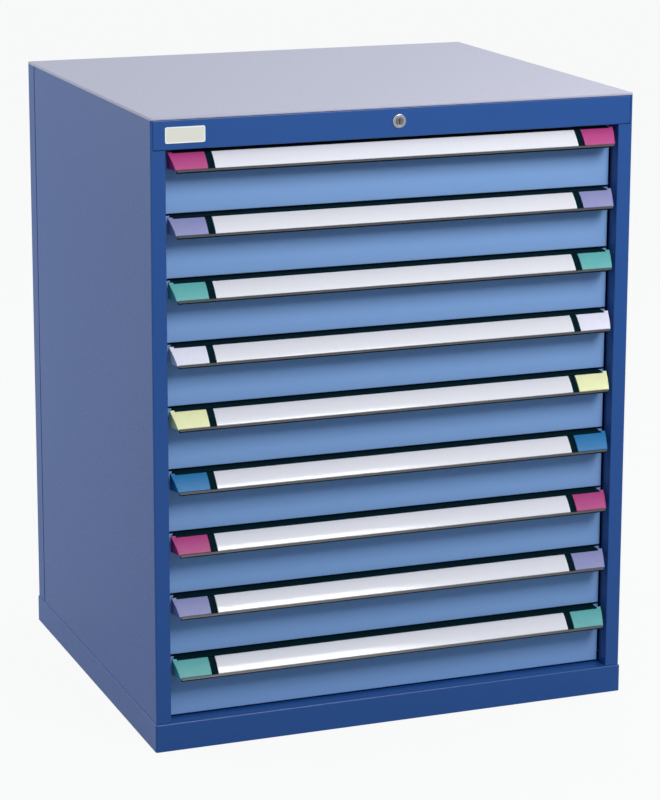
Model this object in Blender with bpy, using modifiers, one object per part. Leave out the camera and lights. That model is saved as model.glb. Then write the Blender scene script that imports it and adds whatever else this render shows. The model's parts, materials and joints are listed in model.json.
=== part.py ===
"""Industrial drawer cabinet: a sheet-steel housing, nine roller drawers and a central lock.

Metres, +Z up. The front faces -Y, and the origin is the middle of the footprint, handles included.
The path of a folded sheet is its outer face, and its thickness lies on the path's left.
"""

import math

import bmesh
import bpy
from mathutils import Matrix, Vector

# Housing
BODY_WIDTH = 0.805
BODY_DEPTH = 0.695
BASE_HEIGHT = 0.0455
HEAD_HEIGHT = 0.050
SHELL_STEP = 0.0015
SHELL_SHEET = 0.0015
BACK_SHEET = 0.0012
POST_WIDTH = 0.0265
POST_RETURN = 0.028
POST_LIP = 0.010
POST_CORNER = 0.0045
POST_BEND = 0.003
PANEL_FLANGE = 0.018
REAR_WRAP = 0.038
REAR_RETURN = 0.018
BASE_FLANGE = 0.025
BASE_BEND = 0.003
COVER_EDGE = 0.004
COVER_BEND = 0.0025
COVER_RETURN = 0.010
HEAD_RAIL_LIP = 0.018
HEAD_RAIL_BEND = 0.002
SEAT_GAP = 0.0003
SEAM_GAP = 0.0005

# Drawers
DRAWER_COUNT = 9
DRAWER_PITCH = 0.100
FOOT_GAP = 0.003
HEAD_GAP = 0.0015
FRONT_GAP = 0.0028
FRONT_SETBACK = 0.027
FRONT_SIDE_GAP = 0.0025
FRONT_BOX_DEPTH = 0.020
FRONT_SHEET = 0.0012
FRONT_BEND = 0.002
TRAY_SHEET = 0.0012
TRAY_DEPTH = 0.600
TRAY_FLOOR_RISE = 0.004
TRAY_HEADROOM = 0.016
TRAY_SIDE_GAP = 0.0065
TRAY_RIM = 0.006
WALL_SLOTS = 5
WALL_SLOT_WIDTH = 0.0025
WALL_SLOT_HEIGHT = 0.018
WALL_SLOT_MARGIN = 0.006

# Handles, labels and end caps
HANDLE_TOP = 0.0149
HANDLE_FACE = 0.0369
FACE_ANGLE = math.radians(48)
TOP_LIP = 0.002
BOTTOM_LIP = 0.004
LIP_THICKNESS = 0.0008
LIP_GROOVE = 0.001
HANDLE_WALL = 0.0016
HANDLE_BACK = 0.027
LABEL_THICKNESS = 0.001
LABEL_GAP = 0.0115
CAP_LENGTH = 0.0579
CAP_INSERT = 0.0500
CAP_SIDE_GAP = 0.0025
CAP_TAPER = 0.0064
CAP_BACK = 0.0125
CAP_ROUND = 0.0015

# Runners
RAIL_START = 0.062
RAIL_TAIL = 0.008
RAIL_RISE = 0.030
RAIL_HEIGHT = 0.032
RAIL_DEPTH = 0.0224
RAIL_SHEET = 0.0018
RUNNER_OVERLAP = 0.010
RUNNER_POST_GAP = 0.005
RUNNER_SHEET = 0.0018
RUNNER_DROP = 0.0079
RUNNER_WEB = 0.020
RUNNER_TAIL_GAP = 0.002
ROLLER_WIDTH = 0.008
ROLLER_EDGE_GAP = 0.001
ROLLER_SIDES = 16
AXLE_RADIUS = 0.0045
AXLE_SIDES = 8
FRONT_ROLLER_INSET = 0.016
REAR_ROLLER_INSET = 0.030
UPRIGHT_WIDTH = 0.040
UPRIGHT_INSET = 0.058
UPRIGHT_SHEET = 0.0015
UPRIGHT_HEADROOM = 0.045
UPRIGHT_SLOT_WIDTH = 0.006
UPRIGHT_SLOT_HEIGHT = 0.020

# Central lock
LOCK_DROP = 0.025
ROSETTE_RADIUS = 0.011
ROSETTE_PROUD = 0.0022
ROSETTE_EDGE = 0.0008
BARREL_RADIUS = 0.0095
BARREL_LENGTH = 0.034
NUT_RADIUS = 0.013
NUT_THICKNESS = 0.004
PLUG_RADIUS = 0.006
PLUG_PROUD = 0.0004
PLUG_OVERRUN = 0.002
KEY_SLOT_WIDTH = 0.0016
KEY_SLOT_HEIGHT = 0.008
KEY_SLOT_DEPTH = 0.005
SHANK_SIDE = 0.006
CAM_GAP = 0.002
CAM_THICKNESS = 0.0025
CAM_HUB_RADIUS = 0.0072
CAM_ARM = 0.008
CAM_SWEEP_ANGLE = math.radians(90)
CAM_PIN_RADIUS = 0.00175
CAM_PIN_BOSS = 0.0040
CAM_PIN_TAIL = 0.0005
SLOT_PLAY = 0.00035
CAM_SLOT_PLAY = 0.0006
CROSS_BAR_GAP = 0.006
CROSS_BAR_HEIGHT = 0.015
CROSS_BAR_MARGIN = 0.010
BAR_THICKNESS = 0.003
LOCK_BAR_WIDTH = 0.012
LOCK_BAR_PASS_GAP = 0.0008
LOCK_BAR_FOOT = 0.016
LOCK_PLAY = 0.005
CATCH_THICKNESS = 0.003
CATCH_HEIGHT = 0.012
CATCH_POST_GAP = 0.0008
RIVET_RADIUS = 0.003
GUIDE_THICKNESS = 0.003
GUIDE_MARGIN = 0.0045
GUIDE_PLACE_SHARES = {"upper": 0.92, "lower": 0.03}
BRACKET_THICKNESS = 0.002
BRACKET_PLACE_SHARES = (0.30, 0.86)

# Shared by every cut and every weld
CUT_OVERRUN = 0.002
WELD_DEPTH = 0.0006
WELD_DISTANCE = 0.000001
ROUND_SIDES = 32
ARC_STEPS = 8

# Places that follow from the sizes above
HANDLE_REACH = HANDLE_TOP + HANDLE_FACE * math.cos(FACE_ANGLE)
OVERHANG = HANDLE_REACH - FRONT_SETBACK
FRONT_Y = (OVERHANG - BODY_DEPTH) / 2
BACK_Y = FRONT_Y + BODY_DEPTH
SKIN_Y = FRONT_Y + FRONT_SETBACK
OPENING_TOP = BASE_HEIGHT + FOOT_GAP + DRAWER_COUNT * DRAWER_PITCH + HEAD_GAP
BODY_HEIGHT = OPENING_TOP + HEAD_HEIGHT
OPENING_HALF = BODY_WIDTH / 2 - POST_WIDTH
PANEL_OUTER = BODY_WIDTH / 2 - SHELL_STEP
PANEL_INNER = PANEL_OUTER - SHELL_SHEET
PANEL_FOOT = BASE_HEIGHT + SEAT_GAP
PANEL_TOP = BODY_HEIGHT - COVER_EDGE - SEAT_GAP
POST_FACE_Y = FRONT_Y + SHELL_STEP
POST_BACK_Y = POST_FACE_Y + POST_RETURN
BACK_PANEL_Y = BACK_Y - SHELL_STEP
SEAM_Y = BACK_PANEL_Y - REAR_WRAP

FRONT_HALF = OPENING_HALF - FRONT_SIDE_GAP
FRONT_HEIGHT = DRAWER_PITCH - FRONT_GAP
RUNNER_EDGE = OPENING_HALF - RUNNER_POST_GAP
RAIL_TIP = RUNNER_EDGE - RUNNER_OVERLAP
RAIL_WEB = RAIL_TIP + RAIL_DEPTH
TRAY_HALF = RAIL_TIP - TRAY_SIDE_GAP
TRAY_TOP = DRAWER_PITCH - TRAY_HEADROOM
TRAY_BACK = FRONT_BOX_DEPTH + TRAY_DEPTH
RAIL_FLOOR = RAIL_RISE + RAIL_SHEET
RAIL_CEILING = RAIL_RISE + RAIL_HEIGHT - RAIL_SHEET
RUNNER_TOP = RAIL_CEILING - RUNNER_DROP + RUNNER_SHEET
REAR_ROLLER_RADIUS = (RAIL_CEILING - RAIL_FLOOR) / 2 - SEAT_GAP
REAR_ROLLER_Z = (RAIL_CEILING + RAIL_FLOOR) / 2
REAR_ROLLER_Y = TRAY_BACK - REAR_ROLLER_INSET
FRONT_ROLLER_TOP = RUNNER_TOP - RUNNER_SHEET - SEAT_GAP
FRONT_ROLLER_RADIUS = (FRONT_ROLLER_TOP - RAIL_FLOOR) / 2 - SEAT_GAP
FRONT_ROLLER_Z = FRONT_ROLLER_TOP - FRONT_ROLLER_RADIUS
ROLLER_OUTER = RUNNER_EDGE - ROLLER_EDGE_GAP
ROLLER_INNER = ROLLER_OUTER - ROLLER_WIDTH
RAIL_END = FRONT_SETBACK + REAR_ROLLER_Y + REAR_ROLLER_RADIUS + RAIL_TAIL

LABEL_SLOT = LABEL_THICKNESS + 2 * SEAT_GAP
HANDLE_FACE_WALL = LIP_THICKNESS + LABEL_SLOT + HANDLE_WALL
CAP_OUTER = FRONT_HALF - CAP_SIDE_GAP
CAP_INNER = CAP_OUTER - CAP_LENGTH
LABEL_HALF = CAP_INNER - LABEL_GAP
HANDLE_END = CAP_INNER + CAP_INSERT
SLOT_START = TOP_LIP - LIP_GROOVE
SLOT_STOP = HANDLE_FACE - BOTTOM_LIP + LIP_GROOVE

LOCK_Z = BODY_HEIGHT - LOCK_DROP
CAM_Y = POST_FACE_Y + BARREL_LENGTH + CAM_GAP
PIN_SIDE = CAM_ARM * math.sin(CAM_SWEEP_ANGLE / 2)
PIN_LOW = CAM_ARM * math.cos(CAM_SWEEP_ANGLE / 2)
THROW = 2 * PIN_SIDE
CROSS_BAR_Z = LOCK_Z + (CAM_ARM + PIN_LOW) / 2
CROSS_BAR_Y = CAM_Y + CAM_THICKNESS + CROSS_BAR_GAP
LOCK_BAR_Y = CROSS_BAR_Y + BAR_THICKNESS + SEAT_GAP
LOCK_BAR_INNER = RUNNER_EDGE + LOCK_BAR_PASS_GAP + THROW
LOCK_BAR_OUTER = LOCK_BAR_INNER + LOCK_BAR_WIDTH
RIVET_X = -(LOCK_BAR_INNER + LOCK_BAR_OUTER) / 2
RUNNER_START = LOCK_BAR_Y + BAR_THICKNESS + LOCK_PLAY - SKIN_Y

# Colours, linear
TOP_GREY = (0.42, 0.46, 0.58)
HOUSING_BLUE = (0.035, 0.095, 0.310)
DRAWER_BLUE = (0.130, 0.270, 0.560)
ZINC = (0.42, 0.43, 0.44)
DARK_STEEL = (0.10, 0.10, 0.11)
CHROME = (0.62, 0.63, 0.65)
BLACK = (0.012, 0.016, 0.018)
LABEL_WHITE = (0.76, 0.74, 0.80)
CAP_COLOURS = {
    "magenta": (0.42, 0.020, 0.130),
    "lavender": (0.50, 0.46, 0.66),
    "green": (0.060, 0.340, 0.300),
    "pearl": (0.70, 0.68, 0.74),
    "yellow": (0.70, 0.68, 0.33),
    "blue": (0.030, 0.170, 0.520),
}
CAP_ORDER = ("magenta", "lavender", "green", "pearl", "yellow", "blue", "magenta", "lavender", "green")

AXIS_ORDER = {"X": "yzx", "Y": "zxy", "Z": "xyz"}


# Scene helpers


def clear_scene():
    for obj in list(bpy.data.objects):
        bpy.data.objects.remove(obj)


def new_collection(name):
    made = bpy.data.collections.new(name)
    bpy.context.scene.collection.children.link(made)
    return made


def new_material(name, colour, roughness, metallic=0.0):
    made = bpy.data.materials.new(name)
    made.use_nodes = True
    shader = made.node_tree.nodes["Principled BSDF"]
    shader.inputs["Base Color"].default_value = (*colour, 1.0)
    shader.inputs["Roughness"].default_value = roughness
    shader.inputs["Metallic"].default_value = metallic
    return made


def helper_object(name, mesh):
    """An object that shapes others and is no part of the cabinet."""
    obj = bpy.data.objects.new(name, mesh)
    obj.hide_render = True
    obj.display_type = "WIRE"
    helpers.objects.link(obj)
    return obj


def mesh_object(name, shape):
    mesh = bpy.data.meshes.new(name)
    shape.to_mesh(mesh)
    shape.free()
    return helper_object(name, mesh)


def baked(obj, weld=False):
    """The object's mesh with its modifiers and its place worked in. The helper is removed."""
    bpy.context.view_layer.update()
    graph = bpy.context.evaluated_depsgraph_get()
    mesh = bpy.data.meshes.new_from_object(obj.evaluated_get(graph))
    mesh.transform(obj.matrix_world)
    if weld:
        shape = bmesh.new()
        shape.from_mesh(mesh)
        bmesh.ops.remove_doubles(shape, verts=shape.verts, dist=WELD_DISTANCE)
        bmesh.ops.recalc_face_normals(shape, faces=shape.faces)
        shape.to_mesh(mesh)
        shape.free()
    mesh.shade_smooth()
    mesh.set_sharp_from_angle(angle=math.radians(30))
    mesh.name = obj.name
    bpy.data.objects.remove(obj)
    return mesh


def place(name, mesh, material, parent=None):
    """Puts a finished piece into the cabinet. Copies share a mesh, so the material sits on the object."""
    obj = bpy.data.objects.new(name, mesh)
    cabinet.objects.link(obj)
    obj.parent = parent
    if not mesh.materials:
        mesh.materials.append(None)
    obj.material_slots[0].link = "OBJECT"
    obj.material_slots[0].material = material
    return obj


# Shape helpers


def set_in_plane(a, b, c, axis):
    """A point with a and b in the plane across the axis and c along it, in right-handed order."""
    point = Vector((0, 0, 0))
    for letter, value in zip(AXIS_ORDER[axis], (a, b, c)):
        setattr(point, letter, value)
    return point


def cube_shape(low, high):
    shape = bmesh.new()
    bmesh.ops.create_cube(shape, size=1)
    size = Vector(high) - Vector(low)
    middle = (Vector(high) + Vector(low)) / 2
    bmesh.ops.scale(shape, vec=size, verts=shape.verts)
    bmesh.ops.translate(shape, vec=middle, verts=shape.verts)
    return shape


def box(name, low, high):
    return mesh_object(name, cube_shape(low, high))


def rod(name, radius, start, stop, axis, centre, sides):
    """A cylinder along an axis, from start to stop, with its centre line at two values across it."""
    shape = bmesh.new()
    bmesh.ops.create_cone(
        shape, cap_ends=True, segments=sides, radius1=radius, radius2=radius, depth=stop - start
    )
    turn = {"X": Matrix.Rotation(math.pi / 2, 4, "Y"), "Y": Matrix.Rotation(math.pi / 2, 4, "X")}
    bmesh.ops.transform(shape, matrix=turn.get(axis, Matrix.Identity(4)), verts=shape.verts)
    bmesh.ops.translate(
        shape, vec=set_in_plane(*centre, (start + stop) / 2, axis), verts=shape.verts
    )
    return mesh_object(name, shape)


def thicken(obj, thickness):
    sheet = obj.modifiers.new("Sheet", "SOLIDIFY")
    sheet.thickness = thickness
    sheet.offset = -1
    sheet.use_even_offset = True
    return obj


def folded_sheet(name, path, start, stop, axis, thickness, bend=0):
    """A sheet bent along a path across the axis, from start to stop along it."""
    shape = bmesh.new()
    corners = [shape.verts.new(set_in_plane(a, b, start, axis)) for a, b in path]
    edges = [shape.edges.new(pair) for pair in zip(corners, corners[1:])]
    run = bmesh.ops.extrude_edge_only(shape, edges=edges)["geom"]
    far = [item for item in run if isinstance(item, bmesh.types.BMVert)]
    along = set_in_plane(0, 0, 1, axis)
    bmesh.ops.translate(shape, vec=along * (stop - start), verts=far)
    shape.normal_update()
    shape.faces.ensure_lookup_table()
    outward = (corners[1].co - corners[0].co).cross(along)
    first = next(face for face in corners[0].link_faces)
    if first.normal.dot(outward) < 0:
        bmesh.ops.reverse_faces(shape, faces=shape.faces)
    if bend:
        bends = [edge for edge in shape.edges if len(edge.link_faces) == 2]
        bmesh.ops.bevel(
            shape, geom=bends, offset=bend, segments=2, profile=0.5, affect="EDGES", clamp_overlap=True
        )
    return thicken(mesh_object(name, shape), thickness)


def mirrored(path):
    """The same path on the other side of the middle plane, for a first value that is x."""
    return [(-a, b) for a, b in reversed(path)]


def mirrored_across(path):
    """The same path on the other side of the middle plane, for a second value that is x."""
    return [(a, -b) for a, b in reversed(path)]


def open_shape(low, high, missing):
    """A box with the faces that look towards the missing directions taken off."""
    shape = cube_shape(low, high)
    shape.normal_update()
    gone = [face for face in shape.faces if any(face.normal.dot(Vector(way)) > 0.5 for way in missing)]
    bmesh.ops.delete(shape, geom=gone, context="FACES")
    return shape


def round_edges(shape, edges, radius, segments):
    bmesh.ops.bevel(
        shape, geom=edges, offset=radius, segments=segments, profile=0.5, affect="EDGES", clamp_overlap=True
    )


def folded_in(shape, width):
    """Extends the shell's open bottom edges inwards as a flange."""
    rim = [edge for edge in shape.edges if edge.is_boundary]
    run = bmesh.ops.extrude_edge_only(shape, edges=rim)["geom"]
    for item in run:
        if isinstance(item, bmesh.types.BMVert):
            item.co.x -= math.copysign(width, item.co.x)
            middle = FRONT_Y + BODY_DEPTH / 2
            item.co.y -= math.copysign(width, item.co.y - middle)


def plate(name, outlines, start, stop, axis):
    """A flat plate from start to stop along an axis. The outlines after the first are its holes.

    Points are (y, z) across X, (x, z) across Y and (x, y) across Z.
    """
    curve = bpy.data.curves.new(name, "CURVE")
    curve.dimensions = "2D"
    curve.fill_mode = "BOTH"
    curve.extrude = (stop - start) / 2
    for outline in outlines:
        spline = curve.splines.new("POLY")
        spline.points.add(len(outline) - 1)
        for point, (a, b) in zip(spline.points, outline):
            point.co = (a, b, 0, 1)
        spline.use_cyclic_u = True
    middle = (start + stop) / 2
    frames = {
        "X": (Vector((0, 1, 0)), Vector((0, 0, 1)), Vector((1, 0, 0))),
        "Y": (Vector((1, 0, 0)), Vector((0, 0, 1)), Vector((0, -1, 0))),
        "Z": (Vector((1, 0, 0)), Vector((0, 1, 0)), Vector((0, 0, 1))),
    }
    first, second, normal = frames[axis]
    turned = Matrix((first, second, normal)).transposed().to_4x4()
    away = Vector([abs(value) for value in normal]) * middle
    guide = helper_object(name + "_outline", curve)
    guide.matrix_world = Matrix.Translation(away) @ turned
    return helper_object(name, baked(guide, weld=True))


def rectangle(low_a, low_b, high_a, high_b):
    return [(low_a, low_b), (high_a, low_b), (high_a, high_b), (low_a, high_b)]


def arc(centre, radius, start, stop, steps=ARC_STEPS):
    """Points on a circle from one angle to another, both ends included."""
    turns = [start + (stop - start) * step / steps for step in range(steps + 1)]
    return [(centre[0] + radius * math.cos(turn), centre[1] + radius * math.sin(turn)) for turn in turns]


def belt(first, first_radius, second, second_radius):
    """The outline of a belt laid round two circles."""
    gap = Vector(second) - Vector(first)
    heading = math.atan2(gap.y, gap.x)
    lean = math.acos((first_radius - second_radius) / gap.length)
    near = arc(first, first_radius, heading + lean, heading + 2 * math.pi - lean)
    return near + arc(second, second_radius, heading - lean, heading + lean)


def group_of(name, objects):
    """Moves helpers into a collection that one Boolean can name."""
    made = bpy.data.collections.new(name)
    helpers.children.link(made)
    for obj in objects:
        helpers.objects.unlink(obj)
        made.objects.link(obj)
    return made


def combined(obj, others, operation):
    """Joins the others to the object, or cuts them from it, and returns the result as a helper."""
    group = group_of(obj.name + "_" + operation.lower(), others)
    step = obj.modifiers.new(operation.title(), "BOOLEAN")
    step.operation = operation
    step.solver = "EXACT"
    step.operand_type = "COLLECTION"
    step.collection = group
    name = obj.name
    result = helper_object(name + "_" + operation.lower() + "_result", baked(obj))
    for other in list(group.objects):
        bpy.data.objects.remove(other)
    bpy.data.collections.remove(group)
    result.name = name
    return result


def joined(obj, others):
    return combined(obj, others, "UNION")


def cut(obj, cutters):
    return combined(obj, cutters, "DIFFERENCE")


# Housing


def lock_hole():
    radius = BARREL_RADIUS + SEAT_GAP
    start = POST_FACE_Y - CUT_OVERRUN
    stop = POST_FACE_Y + SHELL_SHEET + CUT_OVERRUN
    return rod("lock_hole", radius, start, stop, "Y", (LOCK_Z, 0), ROUND_SIDES)


def folded_pan(name, low, high, bend, flange):
    """A shallow tray upside down: its sheet is folded down all round, and inwards again at the foot."""
    shape = open_shape(low, high, [(0, 0, -1)])
    edges = [edge for edge in shape.edges if not edge.is_boundary]
    round_edges(shape, edges, bend, 3)
    folded_in(shape, flange)
    return thicken(mesh_object(name, shape), SHELL_SHEET)


def top_cover():
    low = (-PANEL_OUTER, POST_FACE_Y, BODY_HEIGHT - COVER_EDGE)
    high = (PANEL_OUTER, BACK_PANEL_Y, BODY_HEIGHT)
    return folded_pan("top_cover", low, high, COVER_BEND, COVER_RETURN)


def base_pan():
    half = BODY_WIDTH / 2
    return folded_pan("base_pan", (-half, FRONT_Y, 0), (half, BACK_Y, BASE_HEIGHT), BASE_BEND, BASE_FLANGE)


def side_panel(name, side):
    """A web with a folded post at the front, a return at the back and a flange that the cover rests on."""
    path = [
        (OPENING_HALF + POST_LIP, POST_BACK_Y),
        (OPENING_HALF, POST_BACK_Y),
        (OPENING_HALF, POST_FACE_Y),
        (PANEL_OUTER, POST_FACE_Y),
        (PANEL_OUTER, SEAM_Y),
        (PANEL_OUTER - REAR_RETURN, SEAM_Y),
    ]
    if side < 0:
        path = mirrored(path)
    panel = folded_sheet(name, path, PANEL_FOOT, PANEL_TOP, "Z", SHELL_SHEET, POST_BEND)
    x_low, x_high = on_side(side, PANEL_OUTER - PANEL_FLANGE, PANEL_INNER + WELD_DEPTH)
    low = (x_low, POST_BACK_Y, PANEL_TOP - SHELL_SHEET)
    flange = box("flange", low, (x_high, SEAM_Y - POST_BEND, PANEL_TOP))
    x_low, x_high = on_side(side, OPENING_HALF - CUT_OVERRUN, PANEL_OUTER - POST_CORNER)
    low = (x_low, POST_FACE_Y - CUT_OVERRUN, OPENING_TOP - SEAM_GAP)
    notch = box("notch", low, (x_high, POST_BACK_Y + CUT_OVERRUN, PANEL_TOP + CUT_OVERRUN))
    return joined(cut(panel, [notch]), [flange])


def back_panel():
    front = SEAM_Y + SEAM_GAP
    path = [
        (PANEL_OUTER, front),
        (PANEL_OUTER, BACK_PANEL_Y),
        (-PANEL_OUTER, BACK_PANEL_Y),
        (-PANEL_OUTER, front),
    ]
    return folded_sheet("back_panel", path, PANEL_FOOT, PANEL_TOP, "Z", BACK_SHEET, POST_BEND)


def front_cross_rail():
    """The folded head rail that shows above the drawers, with the brackets that the cross bar slides in."""
    half = PANEL_OUTER - POST_CORNER - SEAM_GAP
    path = [
        (POST_FACE_Y + HEAD_RAIL_LIP, PANEL_TOP),
        (POST_FACE_Y, PANEL_TOP),
        (POST_FACE_Y, OPENING_TOP),
        (POST_BACK_Y, OPENING_TOP),
    ]
    rail = folded_sheet("front_cross_rail", path, -half, half, "X", SHELL_SHEET, HEAD_RAIL_BEND)
    bar_low = CROSS_BAR_Z - CROSS_BAR_HEIGHT / 2
    bar_high = CROSS_BAR_Z + CROSS_BAR_HEIGHT / 2
    bar_back = CROSS_BAR_Y + BAR_THICKNESS
    brackets = []
    windows = [lock_hole()]
    for share in BRACKET_PLACE_SHARES:
        x = -OPENING_HALF * share
        low = (x, POST_FACE_Y + WELD_DEPTH, bar_low - GUIDE_MARGIN)
        high = (x + BRACKET_THICKNESS, bar_back + GUIDE_MARGIN, bar_high + GUIDE_MARGIN)
        brackets.append(box("bracket", low, high))
        low = (x - CUT_OVERRUN, CROSS_BAR_Y - SLOT_PLAY, bar_low - SLOT_PLAY)
        high = (x + BRACKET_THICKNESS + CUT_OVERRUN, bar_back + SLOT_PLAY, bar_high + SLOT_PLAY)
        windows.append(box("window", low, high))
    return cut(joined(rail, brackets), windows)


# Runners in the housing


def cell_floor(number):
    """Height of a drawer's front bottom edge. Drawer 1 is at the top."""
    return BASE_HEIGHT + FOOT_GAP + (DRAWER_COUNT - number) * DRAWER_PITCH


def on_side(side, inner, outer):
    """Two distances from the middle plane as a low and a high x on one side."""
    return sorted((side * inner, side * outer))


def upright(name, side, middle):
    """A slotted channel, its web towards the drawers and its flanges against the side panel."""
    outer = PANEL_INNER - SEAT_GAP
    web = RAIL_WEB - RAIL_SHEET + WELD_DEPTH
    near, far = middle - UPRIGHT_WIDTH / 2, middle + UPRIGHT_WIDTH / 2
    path = [(outer, near), (web, near), (web, far), (outer, far)]
    if side < 0:
        path = mirrored(path)
    top = PANEL_TOP - UPRIGHT_HEADROOM
    path = path[::-1]
    channel = folded_sheet(name, path, PANEL_FOOT, top, "Z", UPRIGHT_SHEET)
    slots = []
    for number in range(1, DRAWER_COUNT + 1):
        z = cell_floor(number) + RAIL_RISE / 2
        x_low, x_high = on_side(side, web - CUT_OVERRUN, web + UPRIGHT_SHEET + CUT_OVERRUN)
        low = (x_low, middle - UPRIGHT_SLOT_WIDTH / 2, z - UPRIGHT_SLOT_HEIGHT / 2)
        high = (x_high, middle + UPRIGHT_SLOT_WIDTH / 2, z + UPRIGHT_SLOT_HEIGHT / 2)
        slots.append(box("slot", low, high))
    return cut(channel, slots)


def runner_frame(name, side):
    """Two uprights with a C rail and a front roller for every drawer."""
    first = FRONT_Y + RAIL_START + UPRIGHT_INSET
    last = FRONT_Y + RAIL_END - UPRIGHT_INSET
    frame = upright(name, side, first)
    pieces = [upright(name + "_rear", side, last)]
    for number in range(1, DRAWER_COUNT + 1):
        floor = cell_floor(number)
        low, high = floor + RAIL_RISE, floor + RAIL_RISE + RAIL_HEIGHT
        path = [(high, RAIL_TIP), (high, RAIL_WEB), (low, RAIL_WEB), (low, RAIL_TIP)]
        if side < 0:
            path = mirrored_across(path)
        start, stop = FRONT_Y + RAIL_START, FRONT_Y + RAIL_END
        pieces.append(folded_sheet(f"rail_{number}", path, start, stop, "Y", RAIL_SHEET))
        centre = (start + FRONT_ROLLER_INSET, floor + FRONT_ROLLER_Z)
        ends = on_side(side, ROLLER_INNER, ROLLER_OUTER)
        pieces.append(rod("roller", FRONT_ROLLER_RADIUS, *ends, "X", centre, ROLLER_SIDES))
        ends = on_side(side, ROLLER_OUTER - WELD_DEPTH, RAIL_WEB - WELD_DEPTH)
        pieces.append(rod("axle", AXLE_RADIUS, *ends, "X", centre, AXLE_SIDES))
    return joined(frame, pieces)


# One drawer, in its own frame: y is 0 at the front skin and z is 0 at its bottom edge


def front_box():
    low = (-FRONT_HALF, 0, 0)
    shape = open_shape(low, (FRONT_HALF, FRONT_BOX_DEPTH, FRONT_HEIGHT), [(0, 0, 1)])
    at_front = [
        edge
        for edge in shape.edges
        if not edge.is_boundary and all(vertex.co.y < FRONT_BOX_DEPTH / 2 for vertex in edge.verts)
    ]
    round_edges(shape, at_front, FRONT_BEND, 2)
    return thicken(mesh_object("front_box", shape), FRONT_SHEET)


def tray_shell():
    """Floor and side walls folded from one sheet with a rim along their tops, and a rear wall."""
    front = FRONT_BOX_DEPTH - WELD_DEPTH
    rim_z = TRAY_TOP - TRAY_SHEET
    rim_x = TRAY_HALF + TRAY_RIM
    path = [
        (rim_z, -rim_x),
        (rim_z, -TRAY_HALF),
        (TRAY_FLOOR_RISE, -TRAY_HALF),
        (TRAY_FLOOR_RISE, TRAY_HALF),
        (rim_z, TRAY_HALF),
        (rim_z, rim_x),
    ]
    shell = folded_sheet("tray_shell", path[::-1], front, TRAY_BACK, "Y", TRAY_SHEET)
    rear_y = TRAY_BACK - WELD_DEPTH
    rear_z = rim_z - WELD_DEPTH
    path = [(rear_y, TRAY_FLOOR_RISE + WELD_DEPTH), (rear_y, rear_z), (rear_y + TRAY_RIM, rear_z)]
    half = TRAY_HALF - WELD_DEPTH
    rear_wall = folded_sheet("rear_wall", path, -half, half, "X", TRAY_SHEET)
    step = TRAY_DEPTH / WALL_SLOTS
    top = rim_z - WALL_SLOT_MARGIN
    slots = []
    for number in range(WALL_SLOTS):
        y = FRONT_BOX_DEPTH + step * number + step / 2
        low = (-TRAY_HALF - CUT_OVERRUN, y - WALL_SLOT_WIDTH / 2, top - WALL_SLOT_HEIGHT)
        high = (TRAY_HALF + CUT_OVERRUN, y + WALL_SLOT_WIDTH / 2, top)
        slots.append(box("wall_slot", low, high))
    return cut(joined(shell, [rear_wall]), slots)


def tray_runner(side):
    """The angle on the tray's side that rides on the front roller, and the roller behind it.

    The left angle's front end is closed by a catch that reaches further out than the angle. The locked
    bar stands in front of it, and an open drawer's angle passes the bar.
    """
    inner = TRAY_HALF - WELD_DEPTH
    foot = RUNNER_TOP - RUNNER_WEB
    path = [(foot, inner), (RUNNER_TOP, inner), (RUNNER_TOP, RUNNER_EDGE)]
    if side < 0:
        path = mirrored_across(path)
    stop = REAR_ROLLER_Y - REAR_ROLLER_RADIUS - RUNNER_TAIL_GAP
    centre = (REAR_ROLLER_Y, REAR_ROLLER_Z)
    ends = on_side(side, ROLLER_INNER, ROLLER_OUTER)
    axle = on_side(side, inner, ROLLER_OUTER + ROLLER_EDGE_GAP / 2)
    pieces = [
        folded_sheet("runner", path, RUNNER_START, stop, "Y", RUNNER_SHEET),
        rod("rear_roller", REAR_ROLLER_RADIUS, *ends, "X", centre, ROLLER_SIDES),
        rod("rear_axle", AXLE_RADIUS, *axle, "X", centre, AXLE_SIDES),
    ]
    if side < 0:
        low = (CATCH_POST_GAP - OPENING_HALF, RUNNER_START, RUNNER_TOP - CATCH_HEIGHT)
        high = (-inner - WELD_DEPTH, RUNNER_START + CATCH_THICKNESS, RUNNER_TOP - WELD_DEPTH)
        pieces.append(box("catch", low, high))
    return pieces


def drawer_tray():
    return joined(front_box(), [tray_shell(), *tray_runner(1), *tray_runner(-1)])


def face_point(along, out):
    """A point of the handle's sloping face: distance down the slope and distance out of it."""
    forward = HANDLE_TOP + math.cos(FACE_ANGLE) * along + math.sin(FACE_ANGLE) * out
    return -forward, FRONT_HEIGHT - math.sin(FACE_ANGLE) * along + math.cos(FACE_ANGLE) * out


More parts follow.
